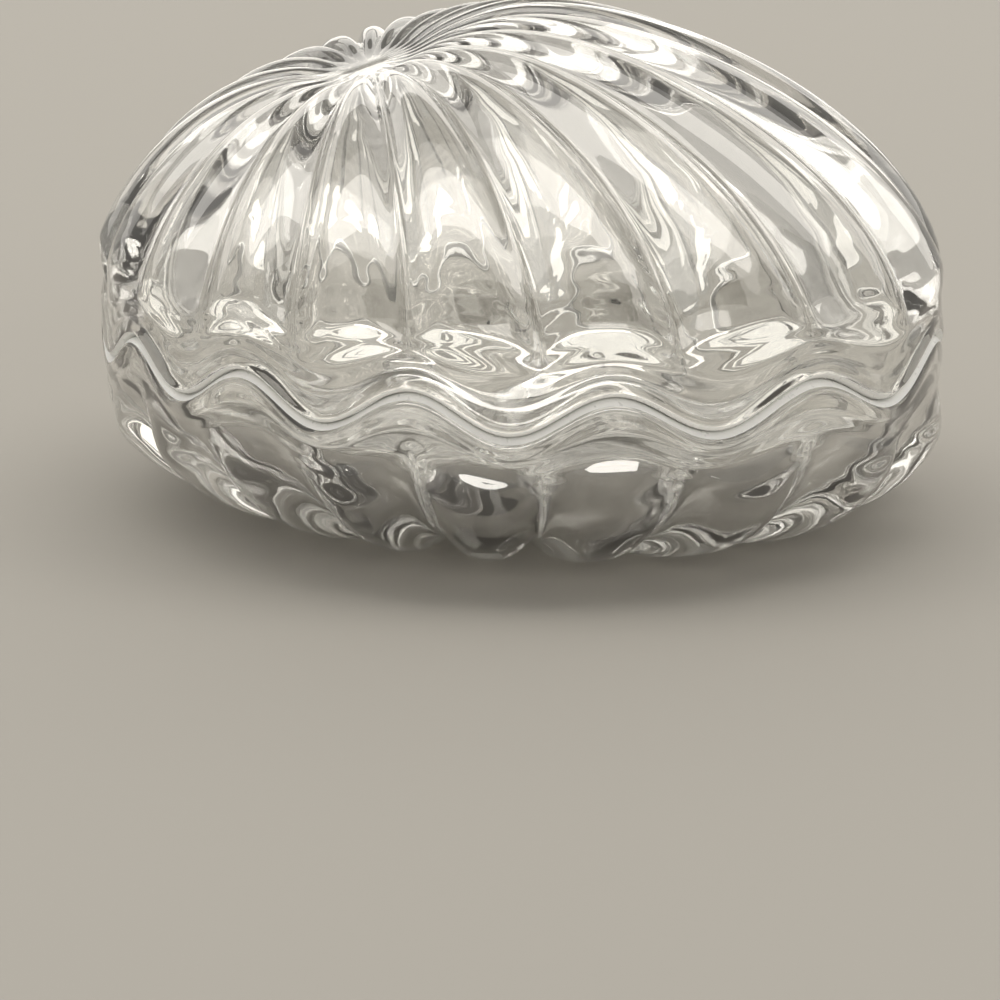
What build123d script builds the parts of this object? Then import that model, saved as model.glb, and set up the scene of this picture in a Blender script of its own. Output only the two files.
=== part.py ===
from build123d import *

import os
from math import comb, cos, exp, hypot, pi, radians, sin, tanh, tau

import numpy as np

# Clam-shell trinket box of pressed crystal glass, in millimetres.
# Two thick shells, a base and a lift-off lid, meet in a wavy seam.
# Origin: on the table under the middle of the box. Z up, the front towards -Y, X to the right.

# Seam oval, seen from above
seam_length = 130.0
seam_depth = 113.0
seam_turn = -1.6
seam_gap = 0.25
wave_height = 5.9
wave_reach = 9.0

# Glass wall between the valley surface and the smooth inside, and its rounded rim
wall = 5.0
rim_rounding_outside = 1.5
rim_rounding_inside = 0.8

# Ribs: two seam waves to every three ribs, counted from the first valley at the front
rib_groups = 7
ribs_in_group = 3
waves_in_group = 2
rib_roundness = 2.6
rib_end_gap = 5.0
rib_end_length = 8.0
hub_radius = 3.2
first_valley_angle = -93.6

# Plan point that the ribs' ends are evenly spaced around
spacing_x = -12.0
spacing_y = 7.3

# Lid: a dome leaning back, with its umbo high on the left in a shallow dent
lid_height = 46.0
lid_plan_power = 1.75
lid_side_power = 2.15
lid_lean_x = -3.0
lid_lean_y = 16.5
lid_umbo_x = -22.0
lid_umbo_y = -4.3
lid_rib_height = 2.6
lid_rib_growth = 18.0
umbo_dent = 4.2
umbo_dent_radius = 13.3

# Base: a shallower bowl with its own umbo underneath and bolder ribs, which are its feet
base_height = 25.4
base_plan_power = 4.2
base_side_power = 2.15
base_lean_x = 4.5
base_lean_y = 0.3
base_umbo_x = -11.0
base_umbo_y = -0.8
base_rib_height = 3.8
base_rib_growth = 10.0
foot_grind = 1.0

# Control points across one rib, along it from the hub to the rim, and round the rim's edges
across_count = 7
along_count = 13
rounding_count = 5

rib_count = rib_groups * ribs_in_group
wave_count = rib_groups * waves_in_group
seam_level = base_height + base_rib_height - foot_grind


def oval_coordinates(x, y):
    """A plan point along the seam oval's own two axes, each as a share of its half axis."""
    turn = radians(seam_turn)
    along = x * cos(turn) + y * sin(turn)
    square = y * cos(turn) - x * sin(turn)
    return along / (seam_length / 2), square / (seam_depth / 2)


def seam_point(angle):
    """Where the ray at this angle from the rib spacing centre meets the seam oval."""
    a, b = oval_coordinates(spacing_x, spacing_y)
    da, db = oval_coordinates(cos(angle), sin(angle))
    square = da * da + db * db
    half = a * da + b * db
    reach = (-half + (half * half - square * (a * a + b * b - 1)) ** 0.5) / square
    return spacing_x + reach * cos(angle), spacing_y + reach * sin(angle)


def smooth_step(value):
    """0 below 0, 1 above 1 and smooth between."""
    value = min(max(value, 0.0), 1.0)
    return value * value * (3 - 2 * value)


class ShellShape:
    """One shell of the box. Its surfaces run from the hub at the umbo (t = 0) to the seam (t = 1)."""

    def __init__(
        self, height, side, plan_power, side_power, umbo, lean, dent, rib_height, rib_growth, edge_level
    ):
        self.height = height
        self.side = side
        self.plan_power = plan_power
        self.side_power = side_power
        self.umbo = umbo
        self.lean = lean
        self.dent = dent
        self.rib_height = rib_height
        self.rib_growth = rib_growth
        self.edge_level = edge_level

    def valley_point(self, t, angle):
        """A point on the valley surface before the seam wave, its rise and its way from the umbo."""
        far_x, far_y = seam_point(angle)
        whole_way = hypot(far_x - self.umbo[0], far_y - self.umbo[1])
        share = 1 - (1 - hub_radius / whole_way) * (1 - t) ** self.side_power
        x = self.umbo[0] + share * (far_x - self.umbo[0])
        y = self.umbo[1] + share * (far_y - self.umbo[1])
        inside_oval = 1 - hypot(*oval_coordinates(x, y)) ** self.plan_power
        rise = max(inside_oval, 0.0) ** (1 / self.side_power)
        way = share * whole_way
        sunk = self.dent * exp(-((way / umbo_dent_radius) ** 2) / 2) * (1 - share**4)
        x += self.lean[0] * rise**2
        y += self.lean[1] * rise**2
        return np.array([x, y, self.side * (self.height * rise - sunk)]), rise, way

    def outward(self, t, angle):
        """Unit normal of the valley surface, pointing out of the glass."""
        step = 1e-4
        t_low, t_high = max(t - step, 0.0), min(t + step, 1.0)
        along = self.valley_point(t_high, angle)[0] - self.valley_point(t_low, angle)[0]
        across = self.valley_point(t, angle + step)[0] - self.valley_point(t, angle - step)[0]
        normal = self.side * np.cross(along, across)
        return normal / np.linalg.norm(normal)

    def point(self, t, angle, rib_phase, inside):
        """A point on the ribbed outside or the smooth inside, with the seam wave added."""
        start, rise, way = self.valley_point(t, angle)
        if inside:
            offset = -wall
        else:
            lobe = 1 - abs(2 * rib_phase - 1) ** rib_roundness
            growth = tanh((way - hub_radius) / self.rib_growth)
            fade = smooth_step((self.height * rise - rib_end_gap) / rib_end_length)
            offset = self.rib_height * lobe * growth * fade
        place = start + offset * self.outward(t, angle)
        wave = wave_height / 2 * cos(wave_count * (angle - radians(first_valley_angle)))
        place[2] += self.edge_level + wave * exp(-((self.height * rise / wave_reach) ** 2))
        return place

    def rounding_start(self, inside):
        """Where along the wall (t) the rounding of the rim begins, as high as it is wide."""
        radius = rim_rounding_inside if inside else rim_rounding_outside
        low, high = 0.0, 1.0
        while high - low > 1e-9:
            middle = (low + high) / 2
            rise = self.valley_point(middle, radians(first_valley_angle))[1]
            low, high = (middle, high) if self.height * rise > radius else (low, middle)
        return low

    def rim_point(self, bend, angle, start, inside):
        """A point on the rim's rounded edge, from the wall (bend = 0) to the flat (bend = 1)."""
        radius = rim_rounding_inside if inside else rim_rounding_outside
        into_rim = self.outward(1.0, angle) * (1 if inside else -1)
        corner = self.point(1.0, angle, 0.0, inside)
        wall_end = self.point(start, angle, 0.0, inside)
        turn = bend * pi / 2
        return corner + (wall_end - corner) * (1 - sin(turn)) + into_rim * radius * (1 - cos(turn))


def bezier_weights(count):
    """Nodes in 0..1, and the matrix that turns points on a curve into its control points."""
    nodes = [(1 - cos(pi * i / (count - 1))) / 2 for i in range(count)]
    n = count - 1
    rows = [[comb(n, j) * u**j * (1 - u) ** (n - j) for j in range(count)] for u in nodes]
    return nodes, np.linalg.inv(np.array(rows))


def fitted(grid, along_matrix, across_matrix):
    """The control net of the surface that runs through a grid of points."""
    net = np.einsum("ij,jkc->ikc", along_matrix, np.array(grid))
    return np.einsum("ij,kjc->kic", across_matrix, net)


def flattened(points):
    """A ring of points moved onto the plane that lies nearest to them."""
    ring = np.array(points)
    middle = ring.mean(axis=0)
    normal = np.linalg.svd(ring - middle)[2][2]
    return ring - np.outer((ring - middle) @ normal, normal)


def rib_nets(shape, inside):
    """Control nets for each rib: one up the wall from the hub, one round the rim's edge."""
    across, across_matrix = bezier_weights(across_count)
    along, along_matrix = bezier_weights(along_count)
    round_edge, round_matrix = bezier_weights(rounding_count)
    pitch = tau / rib_count
    wall_end = shape.rounding_start(inside)
    walls = []
    edges = []
    for rib in range(rib_count):
        start = radians(first_valley_angle) + rib * pitch
        columns = [(start + u * pitch, u) for u in across]
        grid = [[shape.point(t * wall_end, angle, u, inside) for angle, u in columns] for t in along]
        walls.append(fitted(grid, along_matrix, across_matrix))
        grid = [[shape.rim_point(b, angle, wall_end, inside) for angle, _ in columns] for b in round_edge]
        edges.append(fitted(grid, round_matrix, across_matrix))
    for rib in range(rib_count):
        walls[rib][:, 0] = walls[rib - 1][:, -1]
        edges[rib][:, 0] = edges[rib - 1][:, -1]
    for wall_net, edge_net in zip(walls, edges):
        edge_net[0] = wall_net[-1]
    ring = flattened([point for net in walls for point in net[0]])
    for rib in range(rib_count):
        walls[rib][0] = ring[rib * across_count : (rib + 1) * across_count]
    return walls, edges


def net_face(net):
    return Face.make_bezier_surface([[Vector(*point) for point in row] for row in net])


def hub_face(nets):
    """The small flat hub where the ribs meet."""
    edges = [Edge.make_bezier(*[Vector(*point) for point in net[0]]) for net in nets]
    return Face(Wire(edges))


def glass_shell(shape):
    """A closed solid: ribbed outside, smooth inside, and the rounded wavy rim between them."""
    outside, outer_edges = rib_nets(shape, inside=False)
    inside, inner_edges = rib_nets(shape, inside=True)
    faces = [net_face(net) for net in outside + outer_edges + inner_edges + inside]
    faces += [net_face([out[-1], into[-1]]) for out, into in zip(outer_edges, inner_edges)]
    faces += [hub_face(outside), hub_face(inside)]
    return Solid(Shell(faces))


def make_lid():
    shape = ShellShape(
        lid_height,
        1,
        lid_plan_power,
        lid_side_power,
        (lid_umbo_x, lid_umbo_y),
        (lid_lean_x, lid_lean_y),
        umbo_dent,
        lid_rib_height,
        lid_rib_growth,
        seam_level + seam_gap / 2,
    )
    return glass_shell(shape)


def make_base():
    shape = ShellShape(
        base_height,
        -1,
        base_plan_power,
        base_side_power,
        (base_umbo_x, base_umbo_y),
        (base_lean_x, base_lean_y),
        0.0,
        base_rib_height,
        base_rib_growth,
        seam_level - seam_gap / 2,
    )
    below_table = (Align.CENTER, Align.CENTER, Align.MAX)
    ground_off = Box(2 * seam_length, 2 * seam_depth, seam_level, align=below_table)
    return glass_shell(shape) - ground_off


os.makedirs("parts", exist_ok=True)
for name, piece in {"lid": make_lid(), "base": make_base()}.items():
    piece.label = name
    export_step(piece, f"parts/{name}.step")
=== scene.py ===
from math import cos, exp, pi, radians, sin, tau

import bmesh
import bpy
import numpy as np
from mathutils import Matrix, Vector


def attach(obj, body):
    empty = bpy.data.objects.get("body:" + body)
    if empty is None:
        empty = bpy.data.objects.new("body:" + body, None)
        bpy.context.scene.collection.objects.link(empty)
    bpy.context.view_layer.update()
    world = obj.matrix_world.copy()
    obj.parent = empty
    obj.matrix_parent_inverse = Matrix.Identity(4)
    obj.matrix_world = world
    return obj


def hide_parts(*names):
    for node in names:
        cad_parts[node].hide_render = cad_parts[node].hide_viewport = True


# Clam-shell trinket box of pressed crystal: a ribbed base and a ribbed lid that meet in a wavy
# seam. Sizes are in millimetres until a mesh is written, then in metres.

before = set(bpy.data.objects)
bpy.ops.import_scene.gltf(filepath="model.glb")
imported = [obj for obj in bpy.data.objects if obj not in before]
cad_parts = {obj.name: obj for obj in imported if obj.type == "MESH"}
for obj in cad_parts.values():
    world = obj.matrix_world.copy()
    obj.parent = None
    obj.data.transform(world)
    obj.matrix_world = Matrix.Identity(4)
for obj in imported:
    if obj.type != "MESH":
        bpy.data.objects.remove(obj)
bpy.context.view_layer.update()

MM = 0.001

# The seam oval, the glass wall, its rounded rim and the rib spacing, as the CAD model has them
SEAM_LENGTH = 130.0
SEAM_DEPTH = 113.0
SEAM_TURN = -1.6
SEAM_LEVEL = 28.2
SEAM_GAP = 0.25
WALL = 5.0
RIM_OUTSIDE = 1.5
RIM_INSIDE = 0.8
RIBS = 21
WAVES = 14
FIRST_VALLEY = radians(-93.6)
SPACING = (-12.0, 7.3)
HUB_RADIUS = 3.2
DENT_RADIUS = 13.3

# The two shells. Their ribs are slightly lower than in the CAD model, to stay inside its box.
LID = dict(side=1, height=46.0, plan_power=1.75, side_power=2.15, umbo=(-22.0, -4.3),
           lean=(-3.0, 16.5), dent=4.2, level=SEAM_LEVEL + SEAM_GAP / 2,
           ribs={"Rib height": 2.45, "Rib growth": 18.0, "Smooth hub": 13.0})
BASE = dict(side=-1, height=25.4, plan_power=4.2, side_power=2.15, umbo=(-11.0, -0.8),
            lean=(4.5, 0.3), dent=0.0, level=SEAM_LEVEL - SEAM_GAP / 2,
            ribs={"Rib height": 3.55, "Rib growth": 10.0, "Smooth hub": 4.0})

# Sizes that the ribs, the ripples and the seam waves have on both shells
RIB_SIZES = {"Rib roundness": 2.6, "Rib end": 5.0, "Rib full": 13.0, "Valley rounding": 0.32,
             "Ripple depth": 0.17, "Ripple spacing": 3.0, "Ripple reach": 14.0,
             "Ripple bend": 2.5, "Ripple drift": 2.0, "Drift width": 35.7, "Patch width": 38.5,
             "Wave height": 5.9, "Wave reach": 9.0}

# Rows and columns of a shell's mesh. The columns stand closer at the valleys, which are sharp.
COLUMNS_IN_RIB = 20
CROWDING = 0.55
WALL_ROWS = 120
INSIDE_ROWS = 56
HUB_ROWS = 4
ROUNDING_ROWS = 6
RIM_ROWS = 3

# The ground glass comes second among a shell's materials
GROUND = 1

BACKDROP = "#B7B3AB"
LAMP_TINT = "#FFFBF4"

# The lamps: name, place, target, width and height in metres, power in watts
SOFTBOXES = [
    ("overhead softbox", (0.0, 0.05, 0.85), (0.0, 0.0, 0.0), 1.9, 0.6, 1.6),
    ("overhead core", (0.0, 0.05, 0.84), (0.0, 0.0, 0.0), 1.6, 0.3, 1.9),
    ("back softbox", (0.0, 0.95, 0.55), (0.0, 0.0, 0.04), 1.3, 0.4, 1.5),
    ("low back strip", (0.0, 1.2, 0.22), (0.0, 0.0, 0.03), 1.1, 0.3, 1.2),
    ("right softbox", (0.72, 0.72, 0.42), (0.0, 0.0, 0.04), 0.5, 0.5, 0.55),
    ("left softbox", (-0.78, 0.6, 0.45), (0.0, 0.0, 0.04), 0.6, 0.5, 0.6),
    ("front softbox", (0.3, -0.92, 0.55), (0.0, 0.0, 0.04), 0.7, 0.3, 0.9),
    ("low front strip", (0.0, -1.15, 0.2), (0.0, 0.0, 0.02), 1.6, 0.12, 2.6),
]


# Shape of the shells

def oval_coordinates(x, y):
    """A plan point along the seam oval's two axes, each as a share of its half axis."""
    turn = radians(SEAM_TURN)
    along = x * cos(turn) + y * sin(turn)
    square = y * cos(turn) - x * sin(turn)
    return along / (SEAM_LENGTH / 2), square / (SEAM_DEPTH / 2)


def seam_point(angle):
    """Where the ray at this angle from the rib spacing centre meets the seam oval."""
    a, b = oval_coordinates(*SPACING)
    da, db = oval_coordinates(np.cos(angle), np.sin(angle))
    square = da * da + db * db
    half = a * da + b * db
    reach = (np.sqrt(half * half - square * (a * a + b * b - 1)) - half) / square
    return SPACING[0] + reach * np.cos(angle), SPACING[1] + reach * np.sin(angle)


def share_at(shell, t, angle):
    """How far row t is from the umbo to the seam in plan, as a share: t = 0 is the hub's edge."""
    far_x, far_y = seam_point(angle)
    whole = np.hypot(far_x - shell["umbo"][0], far_y - shell["umbo"][1])
    return 1 - (1 - HUB_RADIUS / whole) * (1 - t) ** shell["side_power"]


def valley_surface(shell, share, angle):
    """Points of the surface that the valleys lie in, their height from the seam (the level) and
    their distance in plan from the umbo (the way)."""
    far_x, far_y = seam_point(angle)
    umbo_x, umbo_y = shell["umbo"]
    whole = np.hypot(far_x - umbo_x, far_y - umbo_y)
    x = umbo_x + share * (far_x - umbo_x)
    y = umbo_y + share * (far_y - umbo_y)
    inside_oval = 1 - np.hypot(*oval_coordinates(x, y)) ** shell["plan_power"]
    rise = np.maximum(inside_oval, 0.0) ** (1 / shell["side_power"])
    way = share * whole
    sunk = shell["dent"] * np.exp(-((way / DENT_RADIUS) ** 2) / 2) * (1 - share**4)
    x = x + shell["lean"][0] * rise**2
    y = y + shell["lean"][1] * rise**2
    z = shell["side"] * (shell["height"] * rise - sunk)
    return np.stack([x, y, z], -1), shell["height"] * rise, way


def outward_normal(shell, share, angle):
    """Unit normal of the valley surface, pointing out of the glass."""
    step = 1e-4
    low, high = np.maximum(share - step, 0.0), np.minimum(share + step, 1.0)
    along = valley_surface(shell, high, angle)[0] - valley_surface(shell, low, angle)[0]
    across = (valley_surface(shell, share, angle + step)[0]
              - valley_surface(shell, share, angle - step)[0])
    normal = shell["side"] * np.cross(along, across)
    return normal / np.linalg.norm(normal, axis=-1, keepdims=True)


def rounding_start(shell, radius):
    """The row (t) at which the wall is as far above the seam as the rim's rounding is wide."""
    angle = np.array([FIRST_VALLEY])
    low, high = 0.0, 1.0
    while high - low > 1e-9:
        middle = (low + high) / 2
        height = valley_surface(shell, share_at(shell, middle, angle), angle)[1][0]
        low, high = (middle, high) if height > radius else (low, middle)
    return low


def shell_rows(shell):
    """All rows of one shell, from the outside's hub to the inside's, with every column's place
    across its rib (0 to 1) and its angle."""
    even = np.arange(COLUMNS_IN_RIB) / COLUMNS_IN_RIB
    phase = np.tile(even - CROWDING * np.sin(tau * even) / tau, RIBS)
    angle = FIRST_VALLEY + tau * (np.repeat(np.arange(RIBS), COLUMNS_IN_RIB) + phase) / RIBS
    rows = []

    def add(place, level, way, normal, ribbed):
        rows.append(dict(place=place, level=level, way=way, normal=normal,
                         ribbed=np.full(len(angle), float(ribbed))))

    def wall_row(share, inside):
        place, level, way = valley_surface(shell, share, angle)
        normal = outward_normal(shell, share, angle)
        if inside:
            place = place - WALL * normal
        add(place, level, way, normal, not inside)

    # the hub and the ribbed wall
    hub_share = share_at(shell, 0.0, angle)
    for k in range(1, HUB_ROWS):
        wall_row(hub_share * k / HUB_ROWS, False)
    for t in np.linspace(0, rounding_start(shell, RIM_OUTSIDE), WALL_ROWS):
        wall_row(share_at(shell, t, angle), False)
    wall_end = rows[-1]

    # the rim: its outer rounding, its flat and its inner rounding
    corner, _, way = valley_surface(shell, np.ones(len(angle)), angle)
    normal = outward_normal(shell, np.ones(len(angle)), angle)
    inside_start = rounding_start(shell, RIM_INSIDE)
    share = share_at(shell, inside_start, angle)
    inner_end, inner_level, _ = valley_surface(shell, share, angle)
    inner_end = inner_end - WALL * outward_normal(shell, share, angle)
    inner_corner = corner - WALL * normal
    for k in range(1, ROUNDING_ROWS + 1):
        bend = pi / 2 * k / ROUNDING_ROWS
        place = corner + (wall_end["place"] - corner) * (1 - sin(bend))
        add(place - normal * RIM_OUTSIDE * (1 - cos(bend)), wall_end["level"] * (1 - sin(bend)),
            way, normal, False)
    for k in range(1, RIM_ROWS):
        across = RIM_OUTSIDE + (WALL - RIM_OUTSIDE - RIM_INSIDE) * k / RIM_ROWS
        add(corner - normal * across, np.zeros(len(angle)), way, normal, False)
    for k in range(ROUNDING_ROWS):
        bend = pi / 2 * k / ROUNDING_ROWS
        place = inner_corner + (inner_end - inner_corner) * (1 - cos(bend))
        add(place + normal * RIM_INSIDE * (1 - sin(bend)), inner_level * (1 - cos(bend)),
            way, normal, False)

    # the smooth inside, back to the hub
    for t in np.linspace(inside_start, 0, INSIDE_ROWS):
        wall_row(share_at(shell, t, angle), True)
    for k in range(HUB_ROWS - 1, 0, -1):
        wall_row(hub_share * k / HUB_ROWS, True)
    return rows, phase, angle


def shell_mesh(name, shell):
    """One shell's closed mesh, still smooth, with what the ribs and waves need on its points."""
    rows, phase, angle = shell_rows(shell)
    columns = len(angle)
    points = np.concatenate([row["place"] for row in rows])
    first, last = rows[0], rows[-1]
    points = np.vstack([points, first["place"].mean(0), last["place"].mean(0)])
    points[:, 2] += shell["level"]
    centre, inner_centre = len(points) - 2, len(points) - 1

    def spread(key):
        values = np.concatenate([row[key] for row in rows])
        return np.concatenate([values, values[:1], values[-1:]])

    faces = []
    for row in range(len(rows) - 1):
        for column in range(columns):
            after = (column + 1) % columns
            faces.append((row * columns + column, (row + 1) * columns + column,
                          (row + 1) * columns + after, row * columns + after))
    top = (len(rows) - 1) * columns
    for column in range(columns):
        after = (column + 1) % columns
        faces.append((centre, column, after))
        faces.append((inner_centre, top + after, top + column))
    if shell["side"] < 0:
        faces = [tuple(reversed(face)) for face in faces]

    mesh = bpy.data.meshes.new(name)
    mesh.from_pydata((points * MM).tolist(), [], faces)
    turn = WAVES * (angle - FIRST_VALLEY)
    numbers = {"rib_phase": np.concatenate([np.tile(phase, len(rows)), [0, 0]]),
               "wave_turn": np.concatenate([np.tile(turn, len(rows)), [0, 0]]),
               "level": spread("level"), "way": spread("way"), "ribbed": spread("ribbed")}
    for key, values in numbers.items():
        store = mesh.attributes.new(key, "FLOAT", "POINT")
        store.data.foreach_set("value", values.astype(np.float32))
    store = mesh.attributes.new("outward", "FLOAT_VECTOR", "POINT")
    store.data.foreach_set("vector", spread("normal").astype(np.float32).ravel())
    return mesh


# Ribs, ripples and seam waves

def add_node(tree, kind, inputs, output=0, **settings):
    """Adds a node with its settings, links or sets its inputs, and gives one of its outputs."""
    node = tree.nodes.new(kind)
    for key, value in settings.items():
        setattr(node, key, value)
    for key, value in inputs.items():
        if isinstance(value, bpy.types.NodeSocket):
            tree.links.new(value, node.inputs[key])
        else:
            node.inputs[key].default_value = value
    return node.outputs[output]


def bell_curve(tree, distance, reach):
    """1 at distance 0, 0.37 at one reach, and next to nothing at two."""
    share = add_node(tree, "ShaderNodeMath", {0: distance, 1: reach}, operation="DIVIDE")
    square = add_node(tree, "ShaderNodeMath", {0: share, 1: share}, operation="MULTIPLY")
    return add_node(tree, "ShaderNodeMath", {0: exp(-1), 1: square}, operation="POWER")


def rib_profile(tree, given):
    """Across a rib: how far it has dropped from its crest, and how high it stands. Both go from
    0 to 1, and the height has its sharp valley slightly rounded."""
    phase = add_node(tree, "GeometryNodeInputNamedAttribute", {"Name": "rib_phase"})
    aside = add_node(tree, "ShaderNodeMath", {0: phase, 1: 2.0, 2: -1.0}, operation="MULTIPLY_ADD")
    aside = add_node(tree, "ShaderNodeMath", {0: aside}, operation="ABSOLUTE")
    drop = add_node(tree, "ShaderNodeMath", {0: aside, 1: given["Rib roundness"]}, operation="POWER")
    sharp = add_node(tree, "ShaderNodeMath", {0: 1.0, 1: drop}, operation="SUBTRACT")

    rounding = given["Valley rounding"]
    lengths = []
    for height in (sharp, 1.0):
        corner = add_node(tree, "ShaderNodeCombineXYZ", {"X": height, "Y": rounding})
        lengths.append(add_node(tree, "ShaderNodeVectorMath", {0: corner}, "Value", operation="LENGTH"))
    rounded = add_node(tree, "ShaderNodeMapRange", {"Value": lengths[0], "From Min": rounding,
                                                    "From Max": lengths[1]})
    return drop, rounded


def chill_ripples(tree, given, level, at_valley):
    """Depth of the grooves that the cooling glass leaves along the seam and round the lower ends
    of the valleys. They wander a little, and are deeper in some patches than in others."""
    place = add_node(tree, "GeometryNodeInputPosition", {})
    noises = []
    for width in (given["Drift width"], given["Patch width"]):
        lumps_in_metre = add_node(tree, "ShaderNodeMath", {0: 1 / MM, 1: width}, operation="DIVIDE")
        noises.append(add_node(tree, "ShaderNodeTexNoise", {"Vector": place, "Scale": lumps_in_metre,
                                                            "Detail": 0.0}))
    way = level
    for bend, size in ((noises[0], given["Ripple drift"]), (at_valley, given["Ripple bend"])):
        way = add_node(tree, "ShaderNodeMath", {0: bend, 1: size, 2: way}, operation="MULTIPLY_ADD")
    turns = add_node(tree, "ShaderNodeMath", {0: way, 1: given["Ripple spacing"]}, operation="DIVIDE")
    turn = add_node(tree, "ShaderNodeMath", {0: turns, 1: tau}, operation="MULTIPLY")
    crest = add_node(tree, "ShaderNodeMath", {0: turn}, operation="SINE")

    depth = add_node(tree, "ShaderNodeMapRange", {"Value": crest, "From Min": 1.0, "From Max": -1.0,
                                                  "To Max": given["Ripple depth"]})
    off_rim = add_node(tree, "ShaderNodeMapRange", {"Value": level, "From Min": RIM_OUTSIDE,
                                                    "From Max": 2 * RIM_OUTSIDE},
                       interpolation_type="SMOOTHSTEP")
    patches = add_node(tree, "ShaderNodeMapRange", {"Value": noises[1], "From Min": 0.4,
                                                    "From Max": 0.6, "To Min": 0.5})
    for factor in (bell_curve(tree, level, given["Ripple reach"]), off_rim, patches):
        depth = add_node(tree, "ShaderNodeMath", {0: depth, 1: factor}, operation="MULTIPLY")
    return depth


def rib_offset(tree, given, level):
    """Way out of the valley surface, in metres: the ribs, less the ripples in their skin."""
    # along itself a rib grows from the smooth hub and runs out above the seam
    way = add_node(tree, "GeometryNodeInputNamedAttribute", {"Name": "way"})
    growth = add_node(tree, "ShaderNodeMath", {0: way, 1: HUB_RADIUS}, operation="SUBTRACT")
    growth = add_node(tree, "ShaderNodeMath", {0: growth, 1: given["Rib growth"]}, operation="DIVIDE")
    growth = add_node(tree, "ShaderNodeMath", {0: growth}, operation="TANH")
    off_hub = add_node(tree, "ShaderNodeMapRange", {"Value": way, "From Min": HUB_RADIUS,
                                                    "From Max": given["Smooth hub"]},
                       interpolation_type="SMOOTHSTEP")
    fade = add_node(tree, "ShaderNodeMapRange", {"Value": level, "From Min": given["Rib end"],
                                                 "From Max": given["Rib full"]},
                    interpolation_type="SMOOTHSTEP")
    drop, height = rib_profile(tree, given)
    for factor in (growth, off_hub, fade, given["Rib height"]):
        height = add_node(tree, "ShaderNodeMath", {0: height, 1: factor}, operation="MULTIPLY")

    at_valley = add_node(tree, "ShaderNodeMath", {0: drop, 1: fade}, operation="MULTIPLY")
    groove = chill_ripples(tree, given, level, at_valley)
    height = add_node(tree, "ShaderNodeMath", {0: height, 1: groove}, operation="SUBTRACT")
    ribbed = add_node(tree, "GeometryNodeInputNamedAttribute", {"Name": "ribbed"})
    for factor in (ribbed, MM):
        height = add_node(tree, "ShaderNodeMath", {0: height, 1: factor}, operation="MULTIPLY")
    outward = add_node(tree, "GeometryNodeInputNamedAttribute", {"Name": "outward"},
                       data_type="FLOAT_VECTOR")
    return add_node(tree, "ShaderNodeVectorMath", {0: outward, "Scale": height}, operation="SCALE")


def seam_wave(tree, given, level):
    """The seam's rise and fall, in metres: full at the seam and dying away up the wall."""
    turn = add_node(tree, "GeometryNodeInputNamedAttribute", {"Name": "wave_turn"})
    swing = add_node(tree, "ShaderNodeMath", {0: turn}, operation="COSINE")
    for factor in (given["Wave height"], MM / 2, bell_curve(tree, level, given["Wave reach"])):
        swing = add_node(tree, "ShaderNodeMath", {0: swing, 1: factor}, operation="MULTIPLY")
    return add_node(tree, "ShaderNodeCombineXYZ", {"Z": swing})


def rib_tree(sizes, glass):
    """Raises the ribs, cuts the ripples and bends the seam's edge into its waves."""
    tree = bpy.data.node_groups.new("pressed_ribs", "GeometryNodeTree")
    tree.interface.new_socket("Shell", in_out="INPUT", socket_type="NodeSocketGeometry")
    for name, size in sizes.items():
        socket = tree.interface.new_socket(name, in_out="INPUT", socket_type="NodeSocketFloat")
        socket.default_value = size
    tree.interface.new_socket("Shell", in_out="OUTPUT", socket_type="NodeSocketGeometry")
    given = tree.nodes.new("NodeGroupInput").outputs

    level = add_node(tree, "GeometryNodeInputNamedAttribute", {"Name": "level"})
    move = add_node(tree, "ShaderNodeVectorMath", {0: rib_offset(tree, given, level),
                                                   1: seam_wave(tree, given, level)})
    moved = add_node(tree, "GeometryNodeSetPosition", {"Geometry": given["Shell"], "Offset": move})
    real = add_node(tree, "GeometryNodeRealizeInstances", {"Geometry": moved})
    finished = add_node(tree, "GeometryNodeSetMaterial", {"Geometry": real, "Material": glass})
    tree.links.new(finished, tree.nodes.new("NodeGroupOutput").inputs["Shell"])
    return tree


def pressed_shell(name, shell, glass, ground_glass):
    """The shell with its ribs, ripples, waves and ground seam, as a plain mesh object."""
    piece = bpy.data.objects.new(name, shell_mesh(name, shell))
    bpy.context.scene.collection.objects.link(piece)
    sizes = shell["ribs"] | RIB_SIZES
    tree = rib_tree(sizes, glass)
    ribs = piece.modifiers.new("ribs", "NODES")
    ribs.node_group = tree
    for item in tree.interface.items_tree:
        if item.in_out == "INPUT" and item.name in sizes:
            ribs[item.identifier] = sizes[item.name]
    seen = piece.evaluated_get(bpy.context.evaluated_depsgraph_get())
    mesh = bpy.data.meshes.new_from_object(seen)
    piece.modifiers.clear()
    piece.data = mesh
    mesh.name = name
    mesh.shade_smooth()
    # the rim is ground from within its outer rounding to the edge of its inner one
    mesh.materials.append(ground_glass)
    faces_in_row = RIBS * COLUMNS_IN_RIB
    first_row = HUB_ROWS + WALL_ROWS
    last_row = first_row + ROUNDING_ROWS + RIM_ROWS - 1
    for face in mesh.polygons[first_row * faces_in_row:last_row * faces_in_row]:
        face.material_index = GROUND
    return piece


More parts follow.
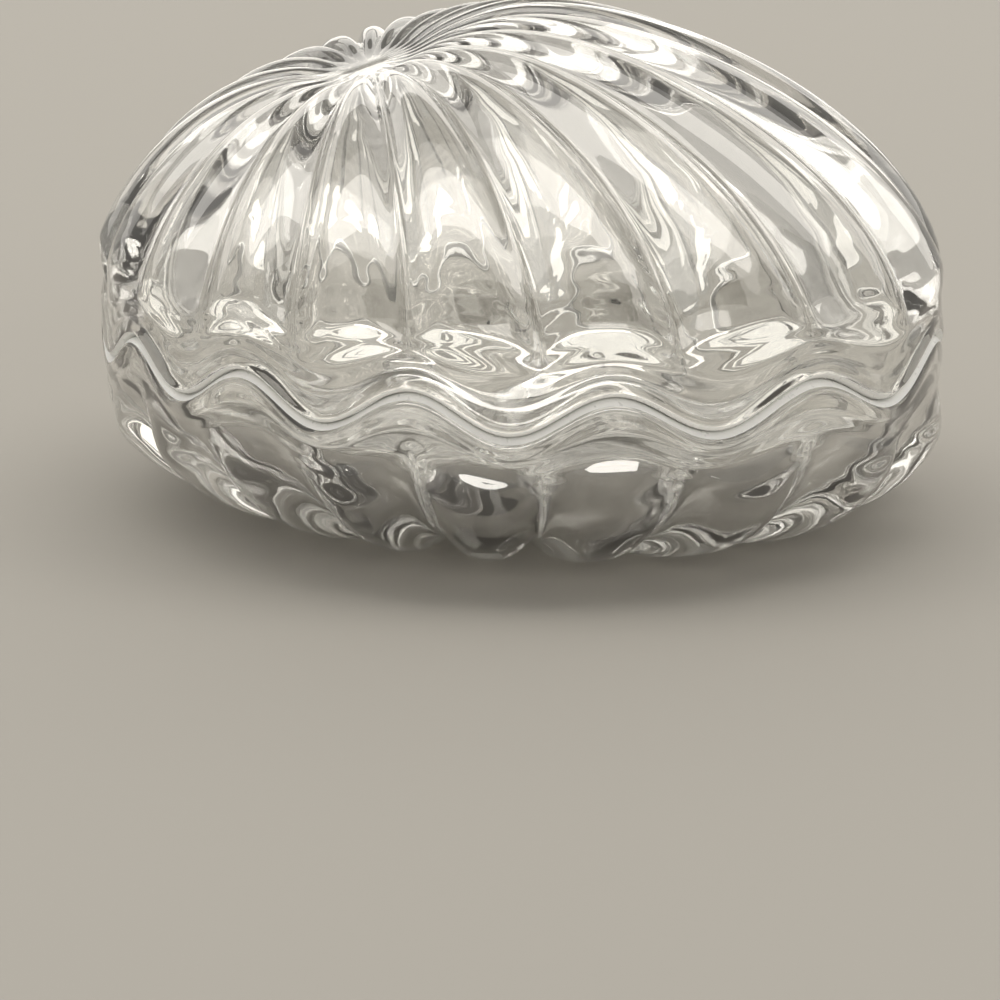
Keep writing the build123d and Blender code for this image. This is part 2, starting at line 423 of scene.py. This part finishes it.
def grind_foot(piece):
    """Cuts the lowest ribs flat at table level and gives the flats the ground finish."""
    mesh = piece.data
    work = bmesh.new()
    work.from_mesh(mesh)
    everything = work.verts[:] + work.edges[:] + work.faces[:]
    cut = bmesh.ops.bisect_plane(work, geom=everything, plane_co=(0, 0, 0), plane_no=(0, 0, -1),
                                 clear_outer=True)
    edges = [part for part in cut["geom_cut"] if isinstance(part, bmesh.types.BMEdge)]
    flats = bmesh.ops.edgeloop_fill(work, edges=edges)["faces"]
    for flat in flats:
        flat.smooth = False
        flat.material_index = GROUND
        if flat.normal.z > 0:
            flat.normal_flip()
        for edge in flat.edges:
            edge.smooth = False
    work.to_mesh(mesh)
    work.free()


# Materials

def colour(text):
    """An sRGB hex colour as linear RGBA."""
    parts = [int(text[i:i + 2], 16) / 255 for i in (1, 3, 5)]
    linear = [c / 12.92 if c <= 0.04045 else ((c + 0.055) / 1.055) ** 2.4 for c in parts]
    return (*linear, 1.0)


def new_material(name):
    material = bpy.data.materials.new(name)
    material.use_nodes = True
    return material, material.node_tree, material.node_tree.nodes["Principled BSDF"]


def fire_polished_crystal():
    """Lead crystal, pressed in a mould and fire polished.

    Clear and colourless with bright, crisp reflections. The flame softens the skin of the glass,
    so that it is never quite even: reflections wander a little, and a faint haze comes and goes.
    """
    skin_wave_width = 11.76 * MM
    skin_wave_height = 0.25 * MM
    haze_width = 16.67 * MM
    material, tree, skin = new_material("fire_polished_crystal")
    skin.inputs["Base Color"].default_value = colour("#FDFDFB")
    skin.inputs["Transmission Weight"].default_value = 1.0
    skin.inputs["IOR"].default_value = 1.57
    skin.inputs["Coat Weight"].default_value = 0.9
    skin.inputs["Coat IOR"].default_value = 2.2
    skin.inputs["Coat Roughness"].default_value = 0.03
    place = add_node(tree, "ShaderNodeTexCoord", {}, "Object")
    waves = add_node(tree, "ShaderNodeTexNoise", {"Vector": place, "Scale": 1 / skin_wave_width,
                                                  "Detail": 1.0})
    uneven = add_node(tree, "ShaderNodeBump", {"Height": waves, "Strength": 0.7,
                                               "Distance": skin_wave_height})
    haze = add_node(tree, "ShaderNodeTexNoise", {"Vector": place, "Scale": 1 / haze_width,
                                                 "Detail": 3.0})
    dull = add_node(tree, "ShaderNodeMapRange", {"Value": haze, "From Min": 0.35, "From Max": 0.75,
                                                 "To Min": 0.0, "To Max": 0.03})
    tree.links.new(uneven, skin.inputs["Normal"])
    tree.links.new(dull, skin.inputs["Roughness"])
    return material


def ground_crystal():
    """The same crystal where the seam and the foot are ground on a wheel: a fine pale frosting.

    The wheel's grit is finer than the picture can show, so it is drawn about a millimetre wide.
    """
    grit_width = 1.11 * MM
    material, tree, skin = new_material("ground_crystal")
    skin.inputs["Base Color"].default_value = colour("#FBFBF8")
    skin.inputs["Transmission Weight"].default_value = 0.15
    skin.inputs["IOR"].default_value = 1.545
    place = add_node(tree, "ShaderNodeTexCoord", {}, "Object")
    grit = add_node(tree, "ShaderNodeTexNoise", {"Vector": place, "Scale": 1 / grit_width,
                                                 "Detail": 2.0})
    frost = add_node(tree, "ShaderNodeMapRange", {"Value": grit, "From Min": 0.3, "From Max": 0.7,
                                                  "To Min": 0.25, "To Max": 0.45})
    tree.links.new(frost, skin.inputs["Roughness"])
    return material


def backdrop_rays(tree):
    """1 for the rays that see the backdrop: straight from the camera, or by way of the glass."""
    seen = add_node(tree, "ShaderNodeLightPath", {}, "Is Camera Ray")
    for kind in ("Is Glossy Ray", "Is Transmission Ray"):
        by_glass = add_node(tree, "ShaderNodeLightPath", {}, kind)
        seen = add_node(tree, "ShaderNodeMath", {0: seen, 1: by_glass}, operation="MAXIMUM")
    return seen


def matt_floor():
    """A pale matt sheet to stand on, which runs out into the backdrop behind the lamps."""
    material, tree, skin = new_material("matt_floor")
    skin.inputs["Base Color"].default_value = colour(BACKDROP)
    skin.inputs["Roughness"].default_value = 0.9
    skin.inputs["Specular IOR Level"].default_value = 0.1
    place = add_node(tree, "ShaderNodeTexCoord", {}, "Object")
    distance = add_node(tree, "ShaderNodeVectorMath", {0: place}, "Value", operation="LENGTH")
    far = add_node(tree, "ShaderNodeMapRange", {"Value": distance, "From Min": 0.4, "From Max": 0.95},
                   interpolation_type="SMOOTHSTEP")
    far = add_node(tree, "ShaderNodeMath", {0: far, 1: backdrop_rays(tree)}, operation="MULTIPLY")
    plain = add_node(tree, "ShaderNodeEmission", {"Color": colour(BACKDROP)})
    floor = add_node(tree, "ShaderNodeMixShader", {0: far, 1: skin.outputs[0], 2: plain})
    tree.links.new(floor, tree.nodes["Material Output"].inputs["Surface"])
    return material


def black_card():
    """Matt black card. The glass reflects it as its darker bands."""
    material, _, skin = new_material("black_card")
    skin.inputs["Base Color"].default_value = colour("#141414")
    skin.inputs["Roughness"].default_value = 0.9
    return material


# The box

crystal = fire_polished_crystal()
ground = ground_crystal()

lid = pressed_shell("lid_glass", LID, crystal, ground)
base = pressed_shell("base_glass", BASE, crystal, ground)
grind_foot(base)
for piece, body, node in ((lid, "lid_shell", "lid"), (base, "base_shell", "base")):
    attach(piece, body)
    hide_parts(node)


# Floor, light and camera

def flat_sheet(name, width, height, material, level=0.0):
    mesh = bpy.data.meshes.new(name)
    x, y = width / 2, height / 2
    corners = [(-x, -y, level), (x, -y, level), (x, y, level), (-x, y, level)]
    mesh.from_pydata(corners, [], [(0, 1, 2, 3)])
    mesh.materials.append(material)
    return mesh


def hang(name, data, place, target):
    """Hangs a lamp or a card so that it faces a target, out of the camera's sight."""
    holder = bpy.data.objects.new(name, data)
    aim = (Vector(target) - Vector(place)).to_track_quat("-Z", "Y")
    holder.visible_camera = False
    holder.matrix_world = Matrix.Translation(place) @ aim.to_matrix().to_4x4()
    bpy.context.scene.collection.objects.link(holder)
    return holder


def make_floor():
    """A sheet 12 m square, a tenth of a millimetre below the foot."""
    floor = bpy.data.objects.new("floor", flat_sheet("floor", 12.0, 12.0, matt_floor(), -0.1 * MM))
    bpy.context.scene.collection.objects.link(floor)


def softbox(name, place, target, width, height, power):
    lamp = bpy.data.lights.new(name, "AREA")
    lamp.shape = "RECTANGLE"
    lamp.size, lamp.size_y = width, height
    lamp.energy = power
    lamp.color = colour(LAMP_TINT)[:3]
    hang(name, lamp, place, target)


def make_world():
    """A plain studio: soft light from all round, and the floor's colour behind everything."""
    world = bpy.data.worlds.new("studio")
    bpy.context.scene.world = world
    world.use_nodes = True
    tree = world.node_tree
    tree.nodes.clear()
    room = add_node(tree, "ShaderNodeBackground", {"Color": colour("#FFFDFA"), "Strength": 0.62})
    behind = add_node(tree, "ShaderNodeBackground", {"Color": colour(BACKDROP), "Strength": 1.0})
    mix = add_node(tree, "ShaderNodeMixShader", {0: backdrop_rays(tree), 1: room, 2: behind})
    tree.links.new(mix, tree.nodes.new("ShaderNodeOutputWorld").inputs["Surface"])


def make_camera():
    """The photograph's view: from the front, a little above, with a long lens."""
    distance, elevation = 620.0, radians(13.9)
    pitch, yaw, roll = radians(16.42), radians(-0.28), radians(1.03)
    place = Vector((0, -distance * cos(elevation), SEAM_LEVEL + distance * sin(elevation))) * MM
    forward = Vector((sin(yaw) * cos(pitch), cos(yaw) * cos(pitch), -sin(pitch)))
    right = Vector((cos(yaw), -sin(yaw), 0))
    up = right.cross(forward)
    turned_right = right * cos(roll) + up * sin(roll)
    turned_up = up * cos(roll) - right * sin(roll)
    data = bpy.data.cameras.new("camera")
    data.lens, data.sensor_width = 144.0, 36.0
    data.clip_start, data.clip_end = 0.01, 20.0
    camera = bpy.data.objects.new("camera", data)
    turn = Matrix((turned_right, turned_up, -forward)).transposed()
    camera.matrix_world = Matrix.Translation(place) @ turn.to_4x4()
    bpy.context.scene.collection.objects.link(camera)
    bpy.context.scene.camera = camera


make_floor()
make_world()
for box in SOFTBOXES:
    softbox(*box)
card = flat_sheet("front card", 1.0, 0.36, black_card())
hang("front card", card, (0.2, -0.5, 0.72), (0.0, 0.0, 0.04))
make_camera()

bpy.context.scene.view_settings.view_transform = "Standard"
